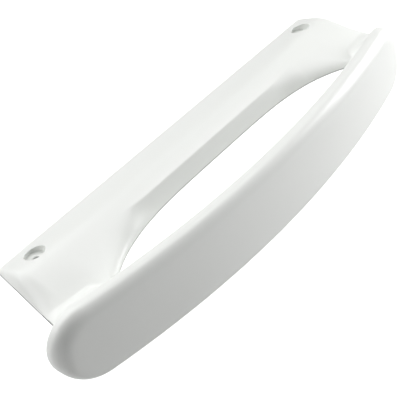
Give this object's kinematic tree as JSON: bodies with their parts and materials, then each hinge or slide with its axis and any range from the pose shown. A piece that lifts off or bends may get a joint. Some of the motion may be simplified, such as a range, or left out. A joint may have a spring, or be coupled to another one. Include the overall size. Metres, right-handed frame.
{
  "type": "appliance door handle",
  "caption": "One-piece moulded door handle with a wedge-shaped mounting plate, a tall bowed grip and a slender finger opening between them.",
  "frame": {"origin": "midway between the two screw holes, on the flat mounting face under the plate", "axes": "+X along the handle, +Y from the grip towards the plate's thin back edge, +Z out of the mounting face through the plate's top"},
  "size_m": [0.314, 0.0887, 0.0455],
  "materials": {
    "shell": "smooth white, semi-gloss moulded plastic"
  },
  "bodies": {
    "root": {"handle": "shell"}
  },
  "joints": []
}
